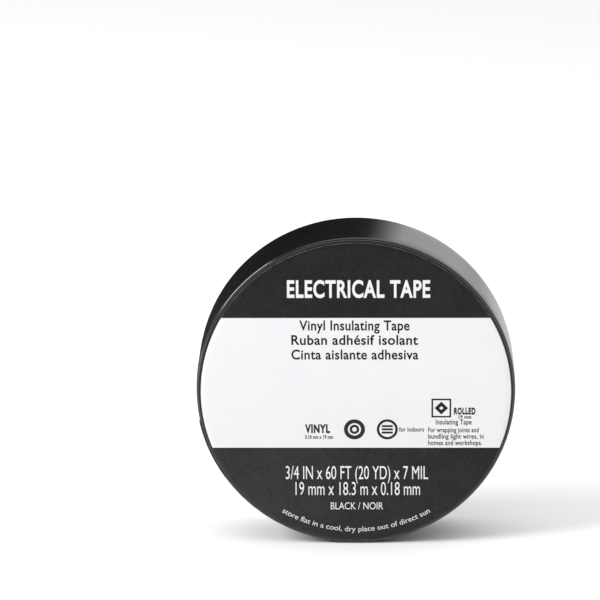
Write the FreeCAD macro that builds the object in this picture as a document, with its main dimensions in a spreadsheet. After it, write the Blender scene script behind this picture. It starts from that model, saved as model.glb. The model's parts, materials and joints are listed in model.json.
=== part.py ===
import FreeCAD, Part
import math
import os
import Sketcher

# Roll of black PVC electrical tape: a paperboard core of four plies, the wound strip, its last full
# turn and its loose end (film and adhesive apart), and a printed paper disc glued over one side.
#
# Frame: the roll stands on its rim like a wheel. Its axis is Y, +Z is up, the printed disc faces -Y,
# and the origin is the centre of the core. Millimetres and degrees.

# ---------------------------------------------------------------- driving dimensions

DIMENSIONS = {
    "TapeWidth": 19.05,         # 3/4 inch strip
    "RollRadius": 38.0,         # outside of the last turn, at the start of the loose end
    "FilmThick": 0.14,          # PVC backing
    "AdhesiveThick": 0.0355,    # rubber adhesive coat under the film
    "EdgeRound": 0.90,          # how far the slit edge of the outermost turns is rolled over
    "BoreRadius": 19.05,        # 1 1/2 inch core
    "LinerThick": 0.30,         # inner liner ply
    "PlyThick": 0.45,           # each of the two body plies
    "WrapThick": 0.30,          # outer ply, which the tape is wound on
    "TipAngle": 192.0,          # where the strip ends, from +X towards +Z
    "RootAngle": 215.0,         # where the loose end is still stuck down
    "LiftGap": 0.05,            # daylight under the loose end
    "DiscRadius": 36.85,
    "DiscThick": 0.10,
    "DiscShiftX": 0.05,         # the disc is stuck on a little off centre
    "DiscShiftZ": -0.25,
    "GlueThick": 0.03,
    "GlueInner": 21.2,
    "GlueOuter": 36.2,
}

doc = FreeCAD.newDocument("electrical_tape_roll")
sheet = doc.addObject("Spreadsheet::Sheet", "Dimensions")
for row, (alias, value) in enumerate(DIMENSIONS.items(), start=1):
    sheet.set(f"A{row}", alias)
    sheet.set(f"B{row}", str(value))
    sheet.setAlias(f"B{row}", alias)
doc.recompute()

sub_parts = []


def origin_plane(body, role):
    """The body's own origin plane with this role, such as XZ_Plane."""
    return next(item for item in body.Origin.OriginFeatures if item.Role == role)


# ---------------------------------------------------------------- flat rings and discs

def circle(sketch, radius_cell, centre_cells):
    """Add one circle with its radius and centre bound to the sheet."""
    index = sketch.addGeometry(Part.Circle(FreeCAD.Vector(0, 0, 0), FreeCAD.Vector(0, 0, 1), 10.0))
    radius = sketch.addConstraint(Sketcher.Constraint("Radius", index, 10.0))
    sketch.setExpression(f"Constraints[{radius}]", radius_cell)
    if centre_cells is None:
        sketch.addConstraint(Sketcher.Constraint("Coincident", index, 3, -1, 1))
        return
    for kind, cell in zip(("DistanceX", "DistanceY"), centre_cells):
        offset = sketch.addConstraint(Sketcher.Constraint(kind, -1, 1, index, 3, 1.0))
        sketch.setExpression(f"Constraints[{offset}]", cell)


def ring_body(label, outer, thickness, centre_y=None, inner=None, centre_cells=None):
    """A disc or ring across the Y axis, padded both ways from its middle plane at centre_y."""
    body = doc.addObject("PartDesign::Body", label)
    body.Label = label
    sketch = body.newObject("Sketcher::SketchObject", label + "_section")
    sketch.AttachmentSupport = (origin_plane(body, "XZ_Plane"), [""])
    sketch.MapMode = "FlatFace"
    circle(sketch, outer, centre_cells)
    if inner is not None:
        circle(sketch, inner, centre_cells)
    doc.recompute()
    pad = body.newObject("PartDesign::Pad", label + "_pad")
    pad.Profile = sketch
    pad.SideType = "Symmetric"
    pad.setExpression("Length", thickness)
    if centre_y is not None:
        body.setExpression("Placement.Base.y", centre_y)
    doc.recompute()
    sub_parts.append(body)


def core_ply(label, inner, outer):
    """One ply of the paperboard core, as wide as the tape and flush with it."""
    ring_body(label, outer, "Dimensions.TapeWidth", inner=inner)


LINER_OUTER = "Dimensions.BoreRadius + Dimensions.LinerThick"
PLY_1_OUTER = LINER_OUTER + " + Dimensions.PlyThick"
PLY_2_OUTER = PLY_1_OUTER + " + Dimensions.PlyThick"
CORE_OUTER = PLY_2_OUTER + " + Dimensions.WrapThick"

core_ply("core_liner", "Dimensions.BoreRadius", LINER_OUTER)
core_ply("core_ply_1", LINER_OUTER, PLY_1_OUTER)
core_ply("core_ply_2", PLY_1_OUTER, PLY_2_OUTER)
core_ply("core_wrap", PLY_2_OUTER, CORE_OUTER)

DISC_CENTRE = ("Dimensions.DiscShiftX", "Dimensions.DiscShiftZ")

ring_body(
    "label_glue", "Dimensions.GlueOuter", "Dimensions.GlueThick",
    centre_y="-Dimensions.TapeWidth / 2 - Dimensions.GlueThick / 2",
    inner="Dimensions.GlueInner", centre_cells=DISC_CENTRE,
)
ring_body(
    "label_disc", "Dimensions.DiscRadius", "Dimensions.DiscThick",
    centre_y="-Dimensions.TapeWidth / 2 - Dimensions.GlueThick - Dimensions.DiscThick / 2",
    centre_cells=DISC_CENTRE,
)

# ---------------------------------------------------------------- the wound strip
#
# The strip winds outwards clockwise as seen from the disc side. Each turn is four tangent quarter
# arcs about the corners of a small square whose side is a quarter of the strip's thickness, so every
# turn lies exactly one thickness outside the one below. "Depth" is measured inwards from the outer
# face of the last turn, along the spiral. A layer is a face across the strip, turned about the Y
# direction through its arc's own centre.

half_width = sheet.TapeWidth / 2
strip = sheet.FilmThick + sheet.AdhesiveThick
quarter_step = strip / 4
core_outer = sheet.BoreRadius + sheet.LinerThick + 2 * sheet.PlyThick + sheet.WrapThick
ALONG_Y = FreeCAD.Vector(0, 1, 0)

# quadrant number: sign of the arc's centre in X and in Z
CENTRE_SIGNS = {1: (1, -1), 2: (1, 1), 3: (-1, 1), 4: (-1, -1)}


def arc_centre(quadrant):
    """Centre of the quarter arc that crosses this quadrant."""
    sign_x, sign_z = CENTRE_SIGNS[quadrant]
    return FreeCAD.Vector(sign_x * quarter_step / 2, 0, sign_z * quarter_step / 2)


def half_width_at(depth):
    """Half the roll's width at this depth: a rolled edge near the outside, then full width."""
    rise = sheet.EdgeRound - depth
    if rise <= 0:
        return half_width
    return half_width - sheet.EdgeRound + math.sqrt(sheet.EdgeRound ** 2 - rise ** 2)


def section(quadrant, arc_radius, outer_depth, inner_depth, angle):
    """Closed face across the strip at this angle, holding the layers between two depths."""
    centre = arc_centre(quadrant)
    outward = FreeCAD.Vector(math.cos(math.radians(angle)), 0, math.sin(math.radians(angle)))

    def point(depth, side):
        return centre + outward * (arc_radius - depth) + ALONG_Y * (side * half_width_at(depth))

    def line(first, last):
        return Part.LineSegment(point(*first), point(*last)).toShape()

    def rolled_edge(side, first, last):
        """The rolled edge from one depth to another, through a point half way down it."""
        middle = point((first + last) / 2, side)
        return Part.Arc(point(first, side), middle, point(last, side)).toShape()

    round_end = min(inner_depth, sheet.EdgeRound)
    edges = [line((outer_depth, -1), (outer_depth, 1)), rolled_edge(1, outer_depth, round_end)]
    if inner_depth > round_end:
        edges.append(line((round_end, 1), (inner_depth, 1)))
    edges.append(line((inner_depth, 1), (inner_depth, -1)))
    if inner_depth > round_end:
        edges.append(line((inner_depth, -1), (round_end, -1)))
    edges.append(rolled_edge(-1, round_end, outer_depth))
    return Part.Face(Part.Wire(edges))


def sector(quadrant, arc_radius, outer_depth, inner_depth, start, end):
    """The layers between two depths, turned from one angle to the other about their arc's centre."""
    face = section(quadrant, arc_radius, outer_depth, inner_depth, start)
    # Turning by a positive angle about -Y carries +X towards +Z.
    return face.revolve(arc_centre(quadrant), -ALONG_Y, end - start)


def joined(pieces):
    """Neighbouring sectors as one solid, with the seams between them removed."""
    return pieces[0].multiFuse(pieces[1:]).removeSplitter().Solids[0]


def turn(outer_depth, inner_depth):
    """One full turn back from the root of the loose end, for the layers between two depths.

    Its arcs are the rest of the root's own quadrant, the three other quadrants, and the first part
    of the root's quadrant again, one strip further in.
    """
    root = sheet.RootAngle
    arcs = [(3, root, 270), (4, 270, 360), (1, 360, 450), (2, 450, 540), (3, 540, 360 + root)]
    pieces = []
    for index, (quadrant, start, end) in enumerate(arcs):
        arc_radius = sheet.RollRadius - index * quarter_step
        pieces.append(sector(quadrant, arc_radius, outer_depth, inner_depth, start, end))
    return joined(pieces)


def add_solid(label, shape):
    """Put a finished shape in the document under its own label."""
    feature = doc.addObject("Part::Feature", label)
    feature.Label = label
    feature.Shape = shape
    feature.Placement = FreeCAD.Placement()
    sub_parts.append(feature)


add_solid("outer_turn_film", turn(0.0, sheet.FilmThick))
add_solid("outer_turn_adhesive", turn(sheet.FilmThick, strip))

# The bonded turns fill the rest, from the last turn down to the core.
INTO_CORE = 1.0
core_depth = sheet.RollRadius - core_outer
core_space = Part.makeCylinder(
    core_outer, 2 * sheet.TapeWidth, FreeCAD.Vector(0, -sheet.TapeWidth, 0), ALONG_Y
)
bonded_turns = turn(strip, core_depth + INTO_CORE).cut(core_space)
add_solid("wound_tape", bonded_turns.Solids[0])


def loose_end(label, outer_depth, inner_depth):
    """A layer of the loose end, which stands a little clear of the turn below."""
    radius = sheet.RollRadius + sheet.LiftGap
    add_solid(label, sector(3, radius, outer_depth, inner_depth, sheet.TipAngle, sheet.RootAngle))


loose_end("free_end_film", 0.0, sheet.FilmThick)
loose_end("free_end_adhesive", sheet.FilmThick, strip)

# ---------------------------------------------------------------- check and write

doc.recompute()
for item in doc.Objects:
    if "Invalid" in item.State or "Error" in item.State:
        raise RuntimeError(f"{item.Label} failed: {item.State}")
for item in sub_parts:
    if item.Shape.isNull() or not item.Shape.isValid() or len(item.Shape.Solids) != 1:
        raise RuntimeError(f"{item.Label} is not one valid solid")

os.makedirs("parts", exist_ok=True)
for item in sub_parts:
    item.Shape.exportStep(f"parts/{item.Label}.step")
    box = item.Shape.BoundBox
    print(f"{item.Label:22s} {item.Shape.Volume:10.2f} mm3  y {box.YMin:8.3f} {box.YMax:8.3f}")

hinge = arc_centre(3)
root_angle = math.radians(sheet.RootAngle)
pivot_radius = sheet.RollRadius + sheet.LiftGap
hinge_x = hinge.x + pivot_radius * math.cos(root_angle)
hinge_z = hinge.z + pivot_radius * math.sin(root_angle)
print(f"free end hinge at x {hinge_x:.4f}, z {hinge_z:.4f}")
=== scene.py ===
import json
import math
import random

import bmesh
import bpy
import numpy as np
from mathutils import Matrix, Vector


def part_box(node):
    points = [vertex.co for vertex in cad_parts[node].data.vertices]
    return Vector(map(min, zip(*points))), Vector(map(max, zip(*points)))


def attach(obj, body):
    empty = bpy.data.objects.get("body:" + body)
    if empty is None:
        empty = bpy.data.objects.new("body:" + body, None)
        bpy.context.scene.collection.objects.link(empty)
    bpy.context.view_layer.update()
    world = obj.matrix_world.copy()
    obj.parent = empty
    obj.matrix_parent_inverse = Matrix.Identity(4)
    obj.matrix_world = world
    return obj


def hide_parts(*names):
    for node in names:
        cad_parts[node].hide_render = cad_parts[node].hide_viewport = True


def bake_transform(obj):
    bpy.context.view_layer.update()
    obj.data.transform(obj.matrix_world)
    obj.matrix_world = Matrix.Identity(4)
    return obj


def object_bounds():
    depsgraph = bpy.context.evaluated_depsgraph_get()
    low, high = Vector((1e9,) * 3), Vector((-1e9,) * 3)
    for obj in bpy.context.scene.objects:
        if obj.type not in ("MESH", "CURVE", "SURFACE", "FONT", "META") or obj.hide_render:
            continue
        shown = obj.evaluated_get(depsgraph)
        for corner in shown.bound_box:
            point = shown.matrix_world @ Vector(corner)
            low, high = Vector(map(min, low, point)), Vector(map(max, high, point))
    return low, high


# Looks of a roll of black electrical tape. The roll stands on its rim: its axis is Y, +Z is up, and
# the printed disc faces -Y. Metres and degrees, in the same frame as the CAD parts.

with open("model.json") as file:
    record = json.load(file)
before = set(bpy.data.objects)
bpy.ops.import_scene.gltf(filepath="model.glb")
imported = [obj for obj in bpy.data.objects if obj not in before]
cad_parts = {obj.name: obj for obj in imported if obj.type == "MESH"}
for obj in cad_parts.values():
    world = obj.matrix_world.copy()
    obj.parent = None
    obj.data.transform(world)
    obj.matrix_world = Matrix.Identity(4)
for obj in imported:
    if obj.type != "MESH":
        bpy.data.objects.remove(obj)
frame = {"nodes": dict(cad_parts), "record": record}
cad_low, cad_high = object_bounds()

MM = 0.001

# ---------------------------------------------------------------- sizes, from the frame where it has them

HALF_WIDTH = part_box("core_liner")[1].y
BORE_RADIUS = frame["record"]["mounts"][0]["dims"]["r_mm"] * MM
LINER_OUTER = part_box("core_liner")[1].x
PLY_1_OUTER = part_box("core_ply_1")[1].x
PLY_2_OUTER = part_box("core_ply_2")[1].x
CORE_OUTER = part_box("core_wrap")[1].x
DISC_LOW, DISC_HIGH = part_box("label_disc")
DISC_CENTRE = (DISC_LOW + DISC_HIGH) / 2
DISC_RADIUS = (DISC_HIGH.x - DISC_LOW.x) / 2
FLOOR_Z = cad_low.z

ROLL_RADIUS = 38.0 * MM
FILM = 0.14 * MM
COAT = 0.0355 * MM
STRIP = FILM + COAT
EDGE_ROUND = 0.42 * MM
CROWN = 0.18 * MM           # how far the turns droop at their edges
CROWN_FROM = 4.5 * MM       # from the middle of the width, where the droop begins
TIP_ANGLE = 192.0           # tip and root of the loose end, from +X towards +Z
ROOT_ANGLE = 215.0

rng = random.Random(12)

# ---------------------------------------------------------------- camera

LENS_MM = 242.76
SENSOR_MM = 36.0
CAMERA_DISTANCE = 0.9679
CAMERA_AZIMUTH = 0.40
CAMERA_ELEVATION = 17.2
CAMERA_ROLL = -0.14
RIGHT_OF_CENTRE = 0.0931    # where the roll's centre falls, in shares of the picture's width
BELOW_CENTRE = 0.1332


def make_camera():
    """A long lens a metre away, looking down on the disc, with the roll low and right in the picture."""
    azimuth = math.radians(CAMERA_AZIMUTH)
    elevation = math.radians(CAMERA_ELEVATION)
    back = Vector((
        math.sin(azimuth) * math.cos(elevation),
        -math.cos(azimuth) * math.cos(elevation),
        math.sin(elevation),
    ))
    right = Vector((0, 0, 1)).cross(back).normalized()
    up = back.cross(right)
    aimed = Matrix((right, up, back)).transposed()
    turned = Matrix.Rotation(math.radians(CAMERA_ROLL), 3, "Z")
    share = SENSOR_MM / LENS_MM
    seen = Vector((RIGHT_OF_CENTRE * share, -BELOW_CENTRE * share, -1)).normalized()
    off_axis = Vector((0, 0, -1)).rotation_difference(seen).to_matrix()
    data = bpy.data.cameras.new("camera")
    data.lens = LENS_MM
    data.sensor_width = SENSOR_MM
    data.clip_start = 0.01
    data.clip_end = 20
    camera = bpy.data.objects.new("camera", data)
    bpy.context.scene.collection.objects.link(camera)
    turn = aimed @ turned @ off_axis.inverted()
    camera.matrix_world = Matrix.Translation(back * CAMERA_DISTANCE) @ turn.to_4x4()
    bpy.context.scene.camera = camera


make_camera()

# ---------------------------------------------------------------- node helpers


class Shader:
    """A Principled material with short calls for the nodes that feed it."""

    def __init__(self, name, **inputs):
        self.material = bpy.data.materials.new(name)
        self.material.use_nodes = True
        self.tree = self.material.node_tree
        self.principled = self.tree.nodes["Principled BSDF"]
        for socket, value in inputs.items():
            self.principled.inputs[socket.replace("_", " ")].default_value = value

    def node(self, kind, **settings):
        made = self.tree.nodes.new(kind)
        for name, value in settings.items():
            setattr(made, name, value)
        return made

    def link(self, source, target):
        self.tree.links.new(source, target)

    def coordinates(self, scale, use_uv=False):
        """Position in metres, or the strip's own (along, across) in metres, stretched by scale."""
        source = self.node("ShaderNodeTexCoord")
        mapping = self.node("ShaderNodeMapping")
        mapping.inputs["Scale"].default_value = scale
        self.link(source.outputs["UV" if use_uv else "Object"], mapping.inputs["Vector"])
        return mapping.outputs["Vector"]

    def noise(self, vector, scale, detail=2.0, roughness=0.5, distortion=0.0):
        made = self.node("ShaderNodeTexNoise")
        made.inputs["Scale"].default_value = scale
        made.inputs["Detail"].default_value = detail
        made.inputs["Roughness"].default_value = roughness
        made.inputs["Distortion"].default_value = distortion
        self.link(vector, made.inputs["Vector"])
        return made.outputs["Fac"]

    def to_range(self, value, low, high, from_low=0.3, from_high=0.7):
        made = self.node("ShaderNodeMapRange")
        for name, number in (
            ("From Min", from_low), ("From Max", from_high), ("To Min", low), ("To Max", high),
        ):
            made.inputs[name].default_value = number
        self.link(value, made.inputs["Value"])
        return made.outputs["Result"]

    def ramp(self, value, *stops):
        """Two colours, each at its own position along 0 to 1."""
        made = self.node("ShaderNodeValToRGB")
        elements = made.color_ramp.elements
        for index, (position, colour) in enumerate(stops):
            stop = elements[index]
            stop.position = position
            stop.color = (*colour, 1.0)
        self.link(value, made.inputs["Fac"])
        return made.outputs["Color"]

    def mix(self, factor, first, second):
        made = self.node("ShaderNodeMix", data_type="RGBA")
        self.link(factor, made.inputs["Factor"])
        for socket, value in ((made.inputs[6], first), (made.inputs[7], second)):
            if isinstance(value, tuple):
                socket.default_value = (*value, 1.0)
            else:
                self.link(value, socket)
        return made.outputs[2]

    def add(self, first, second):
        made = self.node("ShaderNodeMath", operation="ADD")
        self.link(first, made.inputs[0])
        self.link(second, made.inputs[1])
        return made.outputs[0]

    def bump(self, height, distance):
        made = self.node("ShaderNodeBump")
        made.inputs["Strength"].default_value = 1.0
        made.inputs["Distance"].default_value = distance
        self.link(height, made.inputs["Height"])
        self.link(made.outputs["Normal"], self.principled.inputs["Normal"])

    def set(self, socket, value):
        self.link(value, self.principled.inputs[socket])


# ---------------------------------------------------------------- materials


def vinyl_film(name, smoothest, roughest, gloss=0.5):
    """Satin plasticised PVC: faint calender lines along the strip, soft mottling, a few dull patches."""
    shader = Shader(name, IOR=1.5, Specular_IOR_Level=gloss)
    lines = shader.noise(shader.coordinates((30, 4200, 1), use_uv=True), 1.0, 3.0, 0.6)
    grain = shader.noise(shader.coordinates((1, 1, 1), use_uv=True), 2600.0, 2.0)
    patches = shader.noise(shader.coordinates((60, 160, 1), use_uv=True), 1.0, 2.0)
    black = shader.ramp(patches, (0.3, (0.0036, 0.0039, 0.0040)), (0.7, (0.0054, 0.0057, 0.0058)))
    shader.set("Base Color", black)
    shader.set("Roughness", shader.to_range(shader.add(patches, lines), smoothest, roughest, 0.7, 1.3))
    shader.bump(shader.add(lines, grain), 0.0016 * MM)
    return shader.material


def cut_edge():
    """The slit side of the wound turns: matt, each turn a little lighter or darker than the next."""
    shader = Shader("cut_edge", IOR=1.5, Specular_IOR_Level=0.35)
    turns = shader.noise(shader.coordinates((14, 5700, 1), use_uv=True), 1.0, 3.0, 0.7)
    drag = shader.noise(shader.coordinates((1800, 9000, 1), use_uv=True), 1.0, 2.0)
    black = shader.ramp(turns, (0.3, (0.0030, 0.0030, 0.0030)), (0.7, (0.0170, 0.0165, 0.0165)))
    shader.set("Base Color", black)
    shader.set("Roughness", shader.to_range(turns, 0.45, 0.62))
    shader.bump(drag, 0.004 * MM)
    return shader.material


def adhesive_coat():
    """Black rubber adhesive, glossy and slightly stringy."""
    shader = Shader("adhesive_coat", IOR=1.52)
    strings = shader.noise(shader.coordinates((900, 260, 1), use_uv=True), 1.0, 3.0, 0.6)
    black = shader.ramp(strings, (0.3, (0.006, 0.006, 0.006)), (0.7, (0.012, 0.011, 0.010)))
    shader.set("Base Color", black)
    shader.set("Roughness", shader.to_range(strings, 0.16, 0.34))
    shader.bump(strings, 0.02 * MM)
    return shader.material


def paperboard(name, light, dark):
    """Grey-brown board: fibres along the winding, flecks, and thin layers at the cut ends."""
    shader = Shader(name, IOR=1.45)
    fibres = shader.noise(shader.coordinates((1, 1, 1)), 900.0, 5.0, 0.65, 0.6)
    cloud = shader.noise(shader.coordinates((1, 1, 1)), 160.0, 3.0)
    flecks = shader.noise(shader.coordinates((1, 2.5, 1)), 2400.0, 1.0)
    board = shader.ramp(shader.add(fibres, cloud), (0.7, dark), (1.0, light))
    fleck = shader.to_range(flecks, 0.0, 0.55, 0.66, 0.74)
    shader.set("Base Color", shader.mix(fleck, board, tuple(0.35 * part for part in dark)))
    shader.set("Roughness", shader.to_range(fibres, 0.82, 0.95))
    shader.bump(shader.add(fibres, flecks), 0.03 * MM)
    return shader.material


def printed_white():
    """Coated white paper under a print varnish."""
    shader = Shader("disc_white", IOR=1.45, Specular_IOR_Level=0.35)
    cloud = shader.noise(shader.coordinates((1, 1, 1)), 90.0, 2.0)
    grain = shader.noise(shader.coordinates((1, 1, 1)), 2500.0, 2.0)
    shader.set("Base Color", shader.ramp(cloud, (0.3, (0.795, 0.803, 0.820)), (0.7, (0.818, 0.824, 0.838))))
    shader.set("Roughness", shader.to_range(cloud, 0.42, 0.50))
    shader.bump(grain, 0.0012 * MM)
    return shader.material


def printed_black():
    """Dense black ink on the same paper: slightly warm, mottled, scuffed paler here and there, and painted
    paler towards the lower left as a sheen.
    """
    shader = Shader("disc_black", IOR=1.45, Specular_IOR_Level=0.22)
    broad = shader.noise(shader.coordinates((1, 1, 1)), 22.0, 1.0)
    cloud = shader.noise(shader.coordinates((1, 1, 1)), 170.0, 3.0, 0.7)
    grain = shader.noise(shader.coordinates((1, 1, 1)), 1700.0, 2.0)
    scuffs = shader.noise(shader.coordinates((1, 1, 1)), 520.0, 3.0, 0.7)
    mottled = shader.add(shader.add(broad, cloud), grain)
    shade = shader.to_range(mottled, 0.0, 1.0, 1.15, 1.85)
    # The second colour is the same ink painted paler, as a painted sheen, not a thinner ink.
    dense = shader.ramp(shade, (0.0, (0.0050, 0.0052, 0.0042)), (1.0, (0.0160, 0.0158, 0.0150)))
    thin = shader.ramp(shade, (0.0, (0.0160, 0.0162, 0.0160)), (1.0, (0.0330, 0.0328, 0.0330)))
    # Painted sheen: the ink is painted paler towards the lower left of the disc, as if light glanced off it
    # there.
    towards = shader.node("ShaderNodeVectorMath", operation="DOT_PRODUCT")
    shader.link(shader.coordinates((1, 1, 1)), towards.inputs[0])
    towards.inputs[1].default_value = (-0.55, 0, -0.83)
    painted_sheen = shader.to_range(towards.outputs["Value"], 0.0, 1.0, -10 * MM, 30 * MM)
    ink = shader.mix(painted_sheen, dense, thin)
    scuff = shader.to_range(scuffs, 0.0, 0.25, 0.64, 0.80)
    shader.set("Base Color", shader.mix(scuff, ink, (0.055, 0.053, 0.050)))
    shader.set("Roughness", shader.to_range(cloud, 0.40, 0.52))
    shader.bump(grain, 0.0015 * MM)
    return shader.material


def disc_back():
    """The uncoated back of the paper, with the black print showing faintly through."""
    shader = Shader("disc_back", IOR=1.45)
    fibres = shader.noise(shader.coordinates((1, 1, 1)), 1400.0, 4.0, 0.6, 0.5)
    paper = shader.ramp(fibres, (0.3, (0.60, 0.60, 0.58)), (0.7, (0.70, 0.70, 0.68)))
    position = shader.node("ShaderNodeTexCoord")
    split = shader.node("ShaderNodeSeparateXYZ")
    shader.link(position.outputs["Object"], split.inputs["Vector"])
    height = split.outputs["Z"]
    faint = 0.30
    blur = 0.3 * MM
    low_print = shader.to_range(height, faint, 0.0, BAND_LOW - blur, BAND_LOW + blur)
    high_print = shader.to_range(height, 0.0, faint, BAND_HIGH - blur, BAND_HIGH + blur)
    shader.set("Base Color", shader.mix(shader.add(low_print, high_print), paper, (0.16, 0.16, 0.155)))
    shader.set("Roughness", shader.to_range(fibres, 0.80, 0.92))
    shader.bump(fibres, 0.01 * MM)
    return shader.material


def disc_cut():
    """The die-cut edge of the disc, where the ink has chipped to a reddish grey line."""
    shader = Shader("disc_cut", IOR=1.45)
    chips = shader.noise(shader.coordinates((1, 1, 1)), 700.0, 3.0)
    chipped = shader.ramp(chips, (0.35, (0.050, 0.030, 0.029)), (0.65, (0.150, 0.105, 0.100)))
    shader.set("Base Color", chipped)
    shader.set("Roughness", shader.to_range(chips, 0.6, 0.8))
    return shader.material


def glue():
    """Clear glue between the disc and the turns."""
    shader = Shader("disc_glue", IOR=1.47)
    cloud = shader.noise(shader.coordinates((1, 1, 1)), 300.0, 2.0)
    shader.set("Base Color", shader.ramp(cloud, (0.3, (0.55, 0.50, 0.40)), (0.7, (0.66, 0.62, 0.52))))
    shader.set("Roughness", shader.to_range(cloud, 0.15, 0.35))
    return shader.material


# The disc's face is white between these two heights, and black above and below them.
BAND_HIGH = 18.26 * MM
BAND_LOW = -13.88 * MM

FILM_LOOK = vinyl_film("vinyl_film", 0.20, 0.27)
PRESSED_LOOK = vinyl_film("vinyl_pressed", 0.07, 0.12, 0.85)
EDGE_LOOK = cut_edge()
COAT_LOOK = adhesive_coat()
LINER_LOOK = paperboard("liner_board", (0.47, 0.41, 0.33), (0.36, 0.31, 0.24))
BOARD_LOOK = paperboard("core_board", (0.40, 0.34, 0.27), (0.29, 0.245, 0.19))
WHITE_LOOK = printed_white()
BLACK_LOOK = printed_black()
BACK_LOOK = disc_back()
CUT_LOOK = disc_cut()

# ---------------------------------------------------------------- mesh helpers

SHARP = math.radians(38)


def add_mesh(name, points, faces, looks, face_looks=None, uvs=None):
    """A smooth-shaded mesh with sharp edges kept sharp. uvs holds one (along, across) per point."""
    mesh = bpy.data.meshes.new(name)
    mesh.from_pydata([tuple(point) for point in points], [], [tuple(face) for face in faces])
    for look in looks:
        mesh.materials.append(look)
    if face_looks is not None:
        mesh.polygons.foreach_set("material_index", np.asarray(face_looks, np.int32))
    if uvs is not None:
        layer = mesh.uv_layers.new(name="UVMap")
        corners = np.empty(len(mesh.loops), np.int32)
        mesh.loops.foreach_get("vertex_index", corners)
        layer.data.foreach_set("uv", np.asarray(uvs, np.float32)[corners].ravel())
    mesh.polygons.foreach_set("use_smooth", np.ones(len(mesh.polygons), bool))
    mesh.set_sharp_from_angle(angle=SHARP)
    mesh.update()
    made = bpy.data.objects.new(name, mesh)
    bpy.context.scene.collection.objects.link(made)
    return made


def loop_faces(rows, columns, close_rows=False, close_columns=True, first=0, flip=False):
    """Quads of a grid of rows by columns, with either way closed on itself."""
    faces = []
    for row in range(rows if close_rows else rows - 1):
        below = first + row * columns
        above = first + (row + 1) % rows * columns
        for column in range(columns if close_columns else columns - 1):
            after = (column + 1) % columns
            quad = (below + column, below + after, above + after, above + column)
            faces.append(quad[::-1] if flip else quad)
    return faces


# ---------------------------------------------------------------- the wound strip
#
# Angles run back along the strip from its tip, from +X towards +Z, and go on past 360 degrees. Each
# quarter turn is an arc about a corner of a small square, one quarter of a strip further in.

QUARTER_STEP = STRIP / 4
CENTRE_SIGNS = [(-1, 1), (-1, -1), (1, -1), (1, 1)]
SPIRAL_START = 180.0


def on_strip(angle, depth):
    """(x, z) this far below the strip's outer face."""
    index = int((angle - SPIRAL_START) // 90)
    sign_x, sign_z = CENTRE_SIGNS[index % 4]
    radius = ROLL_RADIUS - index * QUARTER_STEP - depth
    turned = math.radians(angle)
    x = sign_x * QUARTER_STEP / 2 + radius * math.cos(turned)
    z = sign_z * QUARTER_STEP / 2 + radius * math.sin(turned)
    return x, z


def droop(y):
    """How far the turns sink towards the roll's edges, where the strip was pulled tightest."""
    share = max(abs(y) - CROWN_FROM, 0.0) / (HALF_WIDTH - CROWN_FROM)
    return CROWN * share ** 3


def half_width_at(depth):
    """Half the roll's width this far below its outside: a rolled edge, then full width."""
    rise = max(EDGE_ROUND - depth, 0.0)
    return HALF_WIDTH - EDGE_ROUND + math.sqrt(EDGE_ROUND ** 2 - rise ** 2)


POINTS_ACROSS = 25
EDGE_STEPS = 4
UNDER_SHARES = (0.93, 0.85, 0.7, 0.4, 0, -0.4, -0.7, -0.85, -0.93)


def strip_layer(name, look, angles, outer_depth, inner_depth, inset=0.0, lift=None):
    """One layer of the strip as a closed band, with the rolled edge on both sides."""
    flat = half_width_at(outer_depth) - inset
    closing_in = np.sin(np.linspace(-math.pi / 2, math.pi / 2, POINTS_ACROSS))
    across = [(outer_depth, flat * share) for share in closing_in]
    edge = np.linspace(outer_depth, inner_depth, EDGE_STEPS + 1)[1:]
    right = [(depth, half_width_at(depth) - inset) for depth in edge]
    under = [(inner_depth, right[-1][1] * share) for share in UNDER_SHARES]
    left = [(depth, -width) for depth, width in reversed(right)]
    section = across + right + under + left
    girth = np.cumsum([0.0] + [
        math.hypot(b[0] - a[0], b[1] - a[1]) for a, b in zip(section, section[1:])
    ])
    points, uvs = [], []
    for angle in angles:
        raised = lift(angle) if lift else 0.0
        for (depth, y), around in zip(section, girth):
            x, z = on_strip(angle, depth + droop(y) - raised)
            points.append((x, y, z))
            uvs.append((math.radians(angle) * ROLL_RADIUS, around))
    count = len(section)
    faces = loop_faces(len(angles), count)
    last = (len(angles) - 1) * count
    faces.append(tuple(range(count))[::-1])
    faces.append(tuple(range(last, last + count)))
    row_looks = [0] * (len(across) - 1) + [1] * EDGE_STEPS
    row_looks += [0] * (count - len(row_looks) - EDGE_STEPS) + [1] * EDGE_STEPS
    face_looks = row_looks * (len(angles) - 1) + [0, 0]
    return add_mesh(name, points, faces, [look, PRESSED_LOOK], face_looks, uvs)


SEAM_ANGLE = ROOT_ANGLE + 6.0      # where the loose end's mesh meets the last full turn's
TURN_END = ROOT_ANGLE + 360.0
TURN_POINTS = 361
END_POINTS = 88
turn_angles = np.linspace(SEAM_ANGLE, TURN_END, TURN_POINTS)
end_angles = np.linspace(TIP_ANGLE, SEAM_ANGLE, END_POINTS)
TIP_LIFT = 0.07 * MM
COAT_INSET = 0.004 * MM


def end_lift(angle):
    """The loose end rises gently off the roll towards its tip."""
    share = max(ROOT_ANGLE - angle, 0.0) / (ROOT_ANGLE - TIP_ANGLE)
    return TIP_LIFT * share ** 0.5


outer_turn = strip_layer("outer_turn_vinyl", FILM_LOOK, turn_angles, 0.0, FILM)
outer_coat = strip_layer("outer_turn_coat", COAT_LOOK, turn_angles, FILM, STRIP, COAT_INSET)
loose_end = strip_layer("loose_end_vinyl", FILM_LOOK, end_angles, 0.0, FILM, lift=end_lift)
loose_coat = strip_layer("loose_end_coat", COAT_LOOK, end_angles, FILM, STRIP, COAT_INSET, end_lift)

# ---------------------------------------------------------------- slit sides of the bonded turns

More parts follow.
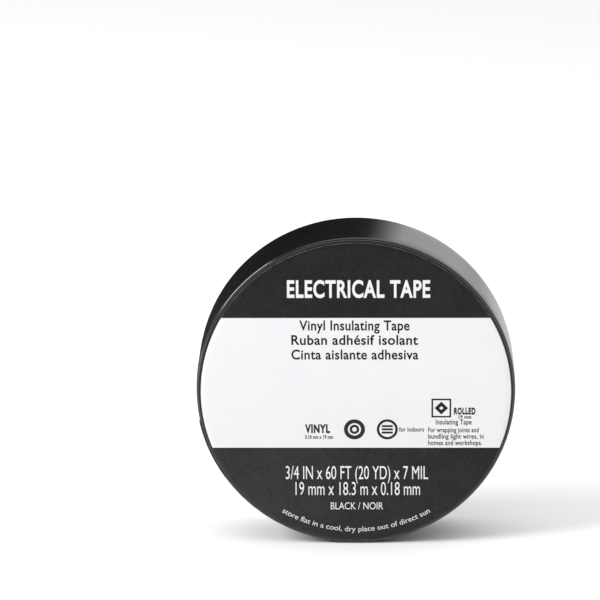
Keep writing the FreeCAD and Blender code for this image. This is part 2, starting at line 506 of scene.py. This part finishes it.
TURNS = int((ROLL_RADIUS - CORE_OUTER) / STRIP) + 1
TURN_JITTER_MM = 0.022
WOBBLE_MM = 0.004
WOBBLE_TURN = 0.35          # how far the wobble moves round from one turn to the next, in radians
PRESSED_FADE = 0.6 * MM
WAVE_SIZES = ((2.3, 0.016), (5.1, 0.010), (11.7, 0.006))     # (cycles over all the turns, depth in mm)
turn_jitter = [rng.uniform(0.0, TURN_JITTER_MM) for _ in range(TURNS + 2)]
waves = [(rng.uniform(0, math.tau), cycles, depth) for cycles, depth in WAVE_SIZES]


def sunk(turn, angle):
    """How far a turn's slit edge lies under the full width, in metres."""
    whole = int(turn)
    share = turn - whole
    jitter = turn_jitter[whole] * (1 - share) + turn_jitter[whole + 1] * share
    slow = 0.0
    for phase, cycles, depth in waves:
        slow += depth * (1 + math.sin(phase + math.tau * cycles * turn / TURNS))
    wobble = WOBBLE_MM * (1 + math.sin(math.radians(angle) + WOBBLE_TURN * turn))
    return (jitter + slow + wobble) * MM * pressed(turn)


def pressed(turn):
    """0 on the rolled corner, where the edges lie flush, rising to 1 where they stand as they were slit."""
    share = min(max((turn * STRIP - EDGE_ROUND) / PRESSED_FADE, 0.0), 1.0)
    return share * share * (3 - 2 * share)


# (share of the strip's thickness, extra depth of the edge in mm): film, then the groove at the adhesive
EDGE_PROFILE = [(0.0, 0.010), (0.10, 0.0), (0.70, 0.0), (0.80, 0.035), (1.0, 0.035)]
ROWS_PER_TURN = 160
CORNER_TURNS = 2.0          # how many of the outermost bonded turns have the corner's glossy look
LAST_SHOWN_TURN = 10.0      # on the disc's side, because the disc hides the turns further in
UV_SHRINK = 3               # the slit edges' grain is this much longer round the roll


def slit_side(side, first_turn, last_turn):
    """Points, faces and (along, across) of the turns' edges on one side of the roll."""
    rows = int((last_turn - first_turn) * ROWS_PER_TURN) + 1
    columns = len(EDGE_PROFILE)
    points, uvs = [], []
    for row in range(rows):
        turn = first_turn + row / ROWS_PER_TURN
        angle = ROOT_ANGLE + 360 * turn
        for share, extra in EDGE_PROFILE:
            depth = turn_depth(turn, share)
            width = half_width_at(depth) - sunk(turn, angle) - extra * MM * pressed(turn)
            x, z = on_strip(angle, share * STRIP + droop(width))
            points.append((x, side * width, z))
            uvs.append((math.radians(angle) * ROLL_RADIUS / UV_SHRINK, (turn + share) * STRIP))
    faces = loop_faces(rows, columns, close_columns=False, flip=side > 0)
    # Narrow faces close the gap between each turn's inner edge and the next turn's outer edge.
    for row in range(rows - ROWS_PER_TURN - 1):
        outer = row * columns + columns - 1
        inner = (row + ROWS_PER_TURN) * columns
        quad = (outer, inner, inner + columns, outer + columns)
        faces.append(quad[::-1] if side > 0 else quad)
    return points, faces, uvs


def turn_depth(turn, share):
    """Depth below the outside of the roll, for the rolled edge."""
    return (int(turn) + share) * STRIP


RING_INSET = 0.16 * MM      # the plain ring's sides lie this far in, deeper than any slit edge
RING_TURNS_DOWN = 2.1       # its outside lies this many turns below the roll's
RING_STEPS = 240
CROWN_POINTS = 21
WELD_DISTANCE = 0.0005 * MM


def wound_turns():
    """The bonded turns: a plain ring inside, and the slit edges of its turns as a long ribbon each side."""
    points, faces, uvs, looks = [], [], [], []
    corner_faces = int(CORNER_TURNS * ROWS_PER_TURN) * (len(EDGE_PROFILE) - 1)
    for side, first, last in ((1, 1.0, TURNS), (-1, 1.0, LAST_SHOWN_TURN)):
        new_points, new_faces, new_uvs = slit_side(side, first, last)
        start = len(points)
        points += new_points
        uvs += new_uvs
        faces += [tuple(start + corner for corner in face) for face in new_faces]
        ribbon = int((last - first) * ROWS_PER_TURN) * (len(EDGE_PROFILE) - 1)
        looks += [1] * corner_faces + [0] * (ribbon - corner_faces)
        bridges = len(new_faces) - ribbon
        corner_bridges = int((CORNER_TURNS - 1) * ROWS_PER_TURN)
        looks += [1] * corner_bridges + [0] * (bridges - corner_bridges)
    start = len(points)
    inner_width = HALF_WIDTH - RING_INSET
    outside = ROLL_RADIUS - RING_TURNS_DOWN * STRIP
    shoulder = ROLL_RADIUS - EDGE_ROUND - CROWN - STRIP
    edge = half_width_at(STRIP) - RING_INSET
    crown = [(outside - droop(y), y) for y in np.linspace(-edge, edge, CROWN_POINTS)]
    ring = [(CORE_OUTER, -inner_width), (shoulder, -inner_width)]
    ring += crown
    ring += [(shoulder, inner_width), (CORE_OUTER, inner_width)]
    for step in range(RING_STEPS):
        turned = math.tau * step / RING_STEPS
        for radius, y in ring:
            points.append((radius * math.cos(turned), y, radius * math.sin(turned)))
            uvs.append((turned * ROLL_RADIUS / UV_SHRINK, ROLL_RADIUS - radius))
    faces += loop_faces(RING_STEPS, len(ring), close_rows=True, first=start, flip=True)
    looks += [0] * (len(faces) - len(looks))
    made = add_mesh("wound_turns", points, faces, [EDGE_LOOK, PRESSED_LOOK], looks, uvs)
    welded = bmesh.new()
    welded.from_mesh(made.data)
    bmesh.ops.remove_doubles(welded, verts=welded.verts, dist=WELD_DISTANCE)
    welded.to_mesh(made.data)
    welded.free()
    made.data.set_sharp_from_angle(angle=SHARP)
    return made


turns = wound_turns()

# ---------------------------------------------------------------- paperboard core

SEAM_TWIST = math.radians(64) / (2 * HALF_WIDTH)     # 64 degrees from one rim to the other
SEAM_WIDTH = 0.28 * MM
SEAM_DEPTH = 0.12 * MM
SEAM_LIP = 0.035 * MM       # the board stands up beside the seam, less and less over the lip's length
LIP_LENGTH = 0.5 * MM
SEAM_OFFSETS_MM = (-0.9, -0.45, -0.16, -0.14, 0.14, 0.16, 0.45, 0.9)
RIM_EASE = 0.05 * MM
PLY_ANGLES = 236
INNER_POINTS = 41
OUTER_POINTS = 9


def seam_angles(radius):
    """Angles round a ply, closer together where its seam is or would be."""
    near = [offset * MM / radius for offset in SEAM_OFFSETS_MM]
    start, end = near[-1], math.tau + near[0]
    return near + list(np.linspace(start, end, PLY_ANGLES)[1:-1])


def core_ply(name, inner, outer, look, node, sunk_by, seam_at, seam_inside):
    """One ply: a tube with eased rims and its ends sunk a little. seam_inside cuts a spiral seam in it."""
    width = HALF_WIDTH - sunk_by * MM
    straight = width - RIM_EASE
    rows_in = [(inner, y) for y in np.linspace(-straight, straight, INNER_POINTS)]
    rows_out = [(outer, y) for y in np.linspace(straight, -straight, OUTER_POINTS)]
    section = rows_in + [(inner + RIM_EASE, width), (outer - RIM_EASE, width)]
    section += rows_out + [(outer - RIM_EASE, -width), (inner + RIM_EASE, -width)]
    angles = seam_angles(inner)
    points = []
    for offset in angles:
        in_seam = abs(offset) < SEAM_WIDTH / 2 / inner
        lip = SEAM_LIP * math.exp(-offset * inner / LIP_LENGTH) if 0 < offset < math.pi else 0.0
        for radius, y in section:
            shifted = radius
            if seam_inside and radius < inner + 2 * RIM_EASE:
                shifted += SEAM_DEPTH if in_seam else -lip
            turned = seam_at + offset + SEAM_TWIST * y
            points.append((shifted * math.cos(turned), y, shifted * math.sin(turned)))
    faces = loop_faces(len(angles), len(section), close_rows=True)
    made = add_mesh(name, points, faces, [look])
    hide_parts(node)
    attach(made, "roll")


core_ply("core_liner_board", BORE_RADIUS, LINER_OUTER, LINER_LOOK, "core_liner", 0.02, 2.1, True)
core_ply("core_ply_1_board", LINER_OUTER, PLY_1_OUTER, BOARD_LOOK, "core_ply_1", 0.06, 3.4, False)
core_ply("core_ply_2_board", PLY_1_OUTER, PLY_2_OUTER, BOARD_LOOK, "core_ply_2", 0.03, 5.0, False)
core_ply("core_wrap_board", PLY_2_OUTER, CORE_OUTER, LINER_LOOK, "core_wrap", 0.07, 0.7, False)

# ---------------------------------------------------------------- printed disc

DISC_FRONT = DISC_LOW.y
DISC_BACK = DISC_HIGH.y
DISC_STEPS = 256
DISC_RINGS = 30
DISC_HUB = 1.2 * MM         # inside this radius, the middle of each face is one polygon
DISC_BEVEL = 0.11 * MM
DISC_DIP = 0.020 * MM
DISC_RIPPLE = 0.006 * MM
DISC_CALM = 3 * MM          # dip and ripple die away over this distance from the rim
INK_THICK = 0.010 * MM


def disc_wave(x, z):
    """The paper isn't quite flat: it dips a hair over the hole and ripples slowly."""
    radius = math.hypot(x, z)
    over_hole = DISC_DIP * math.exp(-((radius / BORE_RADIUS) ** 4))
    ripple = DISC_RIPPLE * math.sin(x / (9 * MM) + 1.3) * math.sin(z / (11 * MM) + 0.4)
    fade = min(1.0, (DISC_RADIUS - min(radius, DISC_RADIUS)) / DISC_CALM)
    return (over_hole + ripple) * fade


def printed_disc():
    """The paper disc: rippled front, plain back, and a narrow chipped bevel round its cut edge."""
    radii = np.linspace(DISC_HUB, DISC_RADIUS - DISC_BEVEL, DISC_RINGS)
    paper = bmesh.new()

    def ring(radius, y):
        made = []
        for step in range(DISC_STEPS):
            turned = math.tau * step / DISC_STEPS
            x = DISC_CENTRE.x + radius * math.cos(turned)
            z = DISC_CENTRE.z + radius * math.sin(turned)
            made.append(paper.verts.new((x, y + disc_wave(x, z), z)))
        return made

    def bridge(outer, inner, look):
        for step in range(DISC_STEPS):
            after = (step + 1) % DISC_STEPS
            face = paper.faces.new((outer[step], outer[after], inner[after], inner[step]))
            face.material_index = look

    WHITE, BLACK, CUT, BACK = range(4)
    front = [ring(radius, DISC_FRONT) for radius in radii]
    back = [ring(radius, DISC_BACK) for radius in radii]
    rim_front = ring(DISC_RADIUS, DISC_FRONT + 0.4 * DISC_BEVEL)
    rim_back = ring(DISC_RADIUS, DISC_BACK)
    for rings, look in ((front, WHITE), (back, BACK)):
        for inner, outer in zip(rings, rings[1:]):
            bridge(outer, inner, look)
        paper.faces.new(rings[0]).material_index = look
    bridge(rim_front, front[-1], CUT)
    bridge(rim_back, rim_front, CUT)
    bridge(back[-1], rim_back, BACK)
    for height in (BAND_LOW, BAND_HIGH):
        everything = paper.verts[:] + paper.edges[:] + paper.faces[:]
        bmesh.ops.bisect_plane(paper, geom=everything, plane_co=(0, 0, height), plane_no=(0, 0, 1))
    for face in paper.faces:
        middle = face.calc_center_median().z
        if face.material_index == WHITE and not BAND_LOW < middle < BAND_HIGH:
            face.material_index = BLACK
    bmesh.ops.recalc_face_normals(paper, faces=paper.faces)
    mesh = bpy.data.meshes.new("label_paper")
    paper.to_mesh(mesh)
    paper.free()
    for look in (WHITE_LOOK, BLACK_LOOK, CUT_LOOK, BACK_LOOK):
        mesh.materials.append(look)
    mesh.polygons.foreach_set("use_smooth", np.ones(len(mesh.polygons), bool))
    mesh.set_sharp_from_angle(angle=SHARP)
    made = bpy.data.objects.new("label_paper", mesh)
    bpy.context.scene.collection.objects.link(made)
    return made


disc = printed_disc()
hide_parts("label_disc")
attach(disc, "roll")


def letters(text, weight=0.0):
    """Points and faces of a line of the built-in font at size 1, its strokes thickened by weight."""
    curve = bpy.data.curves.new("words", "FONT")
    curve.body = text
    curve.fill_mode = "FRONT"
    curve.resolution_u = 8
    curve.offset = weight
    # Thicker letters are set further apart.
    curve.space_character = 1 + 3 * weight
    holder = bpy.data.objects.new("words", curve)
    bpy.context.scene.collection.objects.link(holder)
    bpy.context.view_layer.update()
    evaluated = holder.evaluated_get(bpy.context.evaluated_depsgraph_get())
    mesh = bpy.data.meshes.new_from_object(evaluated)
    points = np.array([vertex.co[:2] for vertex in mesh.vertices])
    faces = [list(polygon.vertices) for polygon in mesh.polygons]
    bpy.data.objects.remove(holder)
    bpy.data.curves.remove(curve)
    bpy.data.meshes.remove(mesh)
    return points, faces


CAPITAL_HEIGHT = letters("H")[0][:, 1].max()     # at size 1
LETTER_WEIGHT = 0.020       # from about 0.028 up, some small letters fold over themselves and lose faces


class Print:
    """Ink on the disc: words and simple marks gathered into one thin mesh."""

    def __init__(self, name, look):
        self.name = name
        self.look = look
        self.points = []
        self.faces = []

    def add(self, outline_points, faces):
        """Flat faces, given as (x, z) on the disc, become a film of ink with its sides."""
        start = len(self.points)
        count = len(outline_points)
        # The film reaches half its thickness into the paper, so that no gap opens under it.
        for raised in (-INK_THICK / 2, INK_THICK):
            for x, z in outline_points:
                self.points.append((x, DISC_FRONT + disc_wave(x, z) - raised, z))
        edges = dict.fromkeys(edge for face in faces for edge in zip(face, face[1:] + face[:1]))
        for face in faces:
            self.faces.append(tuple(start + count + corner for corner in face))
            self.faces.append(tuple(start + corner for corner in reversed(face)))
        for a, b in edges:
            if (b, a) not in edges:
                self.faces.append((start + a, start + b, start + count + b, start + count + a))

    def words(self, text, left, right, base, top, weight=0.0, arc_radius=None):
        """A line of text fitted to a box in millimetres from the face's centre, or bent to an arc."""
        flat, faces = letters(text, weight)
        low, high = flat.min(0), flat.max(0)
        # The box is as high as the capitals, and the tails of letters hang below it.
        x = left + (flat[:, 0] - low[0]) / (high[0] - low[0]) * (right - left)
        z = base + flat[:, 1] / CAPITAL_HEIGHT * (top - base)
        if arc_radius is not None:
            around = x / arc_radius
            reach = arc_radius - z
            x = DISC_CENTRE.x / MM + reach * np.sin(around)
            z = DISC_CENTRE.z / MM - reach * np.cos(around)
        self.add([(a * MM, b * MM) for a, b in zip(x, z)], faces)

    def ring(self, x, z, outer, inner, corners=60, turn=0.0):
        """A ring in millimetres from the face's centre, or a square frame when it has four corners."""
        outline = []
        for corner in range(corners):
            turned = math.radians(turn) + math.tau * corner / corners
            for radius in (inner, outer):
                across, up = radius * math.cos(turned), radius * math.sin(turned)
                outline.append(((x + across) * MM, (z + up) * MM))
        faces = []
        for corner in range(corners):
            a, b = 2 * corner, 2 * ((corner + 1) % corners)
            faces.append([a, a + 1, b + 1, b])
        self.add(outline, faces)

    def bar(self, left, right, base, top):
        """A plain rectangle."""
        corners = [(left, base), (right, base), (right, top), (left, top)]
        self.add([(x * MM, z * MM) for x, z in corners], [[0, 1, 2, 3]])

    def finish(self):
        """Make the mesh, turn its faces outwards and put it on the roll."""
        made = add_mesh(self.name, self.points, self.faces, [self.look])
        bm = bmesh.new()
        bm.from_mesh(made.data)
        bmesh.ops.recalc_face_normals(bm, faces=bm.faces)
        bm.to_mesh(made.data)
        bm.free()
        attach(made, "roll")


white = Print("label_print_white", WHITE_LOOK)
white.words("ELECTRICAL TAPE", -16.1, 17.6, 23.35, 27.35, weight=0.028)
white.words("3/4 IN x 60 FT (20 YD) x 7 MIL", -16.7, 17.2, -21.75, -18.5)
white.words("19 mm x 18.3 m x 0.18 mm", -14.4, 15.3, -25.75, -22.5)
white.words("BLACK / NOIR", -6.0, 6.5, -29.35, -27.6)
white.words("store flat in a cool, dry place out of direct sun", -18.6, 18.6, 0.0, 1.25, arc_radius=34.7)
white.finish()

black = Print("label_print_black", BLACK_LOOK)
black.words("Vinyl Insulating Tape", -13.25, 12.75, 15.25, 17.6, weight=LETTER_WEIGHT)
black.words("Ruban adh\u00e9sif isolant", -15.15, 14.75, 11.7, 14.0, weight=LETTER_WEIGHT)
black.words("Cinta aislante adhesiva", -15.15, 14.85, 8.1, 10.4, weight=LETTER_WEIGHT)
black.words("VINYL", -12.05, -6.1, -10.1, -8.2, weight=0.055)
black.words("0.18 mm x 19 mm", -12.05, -5.4, -11.65, -10.75, weight=0.035)
black.ring(-0.3, -9.3, 2.5, 1.55)
black.ring(-0.3, -9.3, 1.15, 0.55)
black.ring(7.5, -9.3, 2.5, 1.9)
for row in (-10.35, -9.55, -8.75):
    black.bar(6.2, 8.8, row, row + 0.5)
black.words("for indoors", 10.3, 16.2, -9.85, -8.75, weight=LETTER_WEIGHT)
black.ring(20.3, -4.0, 3.3, 2.75, corners=4, turn=45)
black.ring(20.3, -4.0, 1.6, 0.5, corners=4)
black.words("ROLLED", 23.3, 28.4, -5.5, -4.0, weight=0.055)
black.words("19 mm", 24.4, 27.4, -6.6, -5.8, weight=0.035)
black.words("Insulating Tape", 19.0, 27.5, -8.05, -6.85, weight=LETTER_WEIGHT)
black.words("For wrapping joints and", 17.2, 29.2, -10.0, -8.85, weight=LETTER_WEIGHT)
black.words("bundling light wires, in", 17.2, 30.4, -11.6, -10.45, weight=LETTER_WEIGHT)
black.words("homes and workshops.", 17.2, 30.0, -13.2, -12.05, weight=LETTER_WEIGHT)
black.finish()

# ---------------------------------------------------------------- what rides on what

for piece, node, slot in (
    (outer_turn, "outer_turn_film", "tape_film"),
    (outer_coat, "outer_turn_adhesive", "tape_adhesive"),
    (turns, "wound_tape", "tape_film"),
):
    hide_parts(node)
    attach(piece, "roll")

for piece, node, slot in (
    (loose_end, "free_end_film", "tape_film"),
    (loose_coat, "free_end_adhesive", "tape_adhesive"),
):
    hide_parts(node)
    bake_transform(piece)

glue_node = frame["nodes"]["label_glue"]
glue_node.data.materials.clear()
glue_node.data.materials.append(glue())

# ---------------------------------------------------------------- floor and light


def make_floor():
    """A plain pale floor, 12 metres across."""
    shader = Shader("floor_white", Roughness=0.9, Specular_IOR_Level=0.1)
    shader.principled.inputs["Base Color"].default_value = (0.90, 0.90, 0.90, 1.0)
    reach = 6.0
    signs = ((-1, -1), (1, -1), (1, 1), (-1, 1))
    corners = [(reach * x, reach * y, FLOOR_Z) for x, y in signs]
    floor = add_mesh("floor", corners, [(0, 1, 2, 3)], [shader.material])


def make_dark_card():
    """A dark upright tube behind the roll, seen only in reflections. It darkens the rim's top left."""
    shader = Shader("card_black", Roughness=0.35, Specular_IOR_Level=0.2)
    shader.principled.inputs["Base Color"].default_value = (0.01, 0.01, 0.01, 1.0)
    split = shader.node("ShaderNodeSeparateXYZ")
    shader.link(shader.coordinates((1, 1, 1)), split.inputs["Vector"])
    # It fades out to the right, so that its reflection has no hard end.
    shader.set("Alpha", shader.to_range(split.outputs["X"], 1.0, 0.0, 4 * MM, 20 * MM))
    radius = 50 * MM
    centre_x = -30 * MM
    centre_y = 65 * MM
    height = 110 * MM
    steps = 64
    points = []
    for step in range(steps):
        turned = math.tau * step / steps
        x = centre_x + radius * math.cos(turned)
        y = centre_y + radius * math.sin(turned)
        points += [(x, y, FLOOR_Z), (x, y, FLOOR_Z + height)]
    faces = loop_faces(steps, 2, close_rows=True, close_columns=False)
    card = add_mesh("dark_card", points, faces, [shader.material])
    card.visible_camera = False
    card.visible_diffuse = False
    card.visible_shadow = False


def area_light(name, place, width, height, power):
    """A rectangular white softbox facing the middle of the roll."""
    data = bpy.data.lights.new(name, "AREA")
    data.shape = "RECTANGLE"
    data.size = width
    data.size_y = height
    data.energy = power
    lamp = bpy.data.objects.new(name, data)
    bpy.context.scene.collection.objects.link(lamp)
    lamp.location = place
    lamp.rotation_euler = (-Vector(place)).to_track_quat("-Z", "Y").to_euler()
    lamp.visible_camera = False


def make_world():
    """White to the eye; as light, bright behind the roll and dim in front of it."""
    world = bpy.data.worlds.new("studio")
    bpy.context.scene.world = world
    world.use_nodes = True
    nodes, links = world.node_tree.nodes, world.node_tree.links
    background = nodes["Background"]
    place = nodes.new("ShaderNodeTexCoord")
    split = nodes.new("ShaderNodeSeparateXYZ")
    behind = nodes.new("ShaderNodeMapRange")
    for name, value in (("From Min", -0.5), ("From Max", 0.6), ("To Min", 0.06), ("To Max", 1.20)):
        behind.inputs[name].default_value = value
    path = nodes.new("ShaderNodeLightPath")
    pick = nodes.new("ShaderNodeMath")
    pick.operation = "MAXIMUM"
    links.new(place.outputs["Generated"], split.inputs["Vector"])
    links.new(split.outputs["Y"], behind.inputs["Value"])
    links.new(behind.outputs["Result"], pick.inputs[0])
    links.new(path.outputs["Is Camera Ray"], pick.inputs[1])
    links.new(pick.outputs[0], background.inputs["Color"])


make_floor()
make_dark_card()
make_world()
area_light("key", (-0.95, -0.36, 0.62), 0.45, 0.66, 13.6)
area_light("top", (0.10, -0.38, 1.35), 1.60, 1.60, 8.0)
area_light("fill", (0.90, -0.54, 0.58), 1.20, 1.20, 3.6)

scene = bpy.context.scene
scene.view_settings.view_transform = "Standard"
scene.view_settings.look = "None"
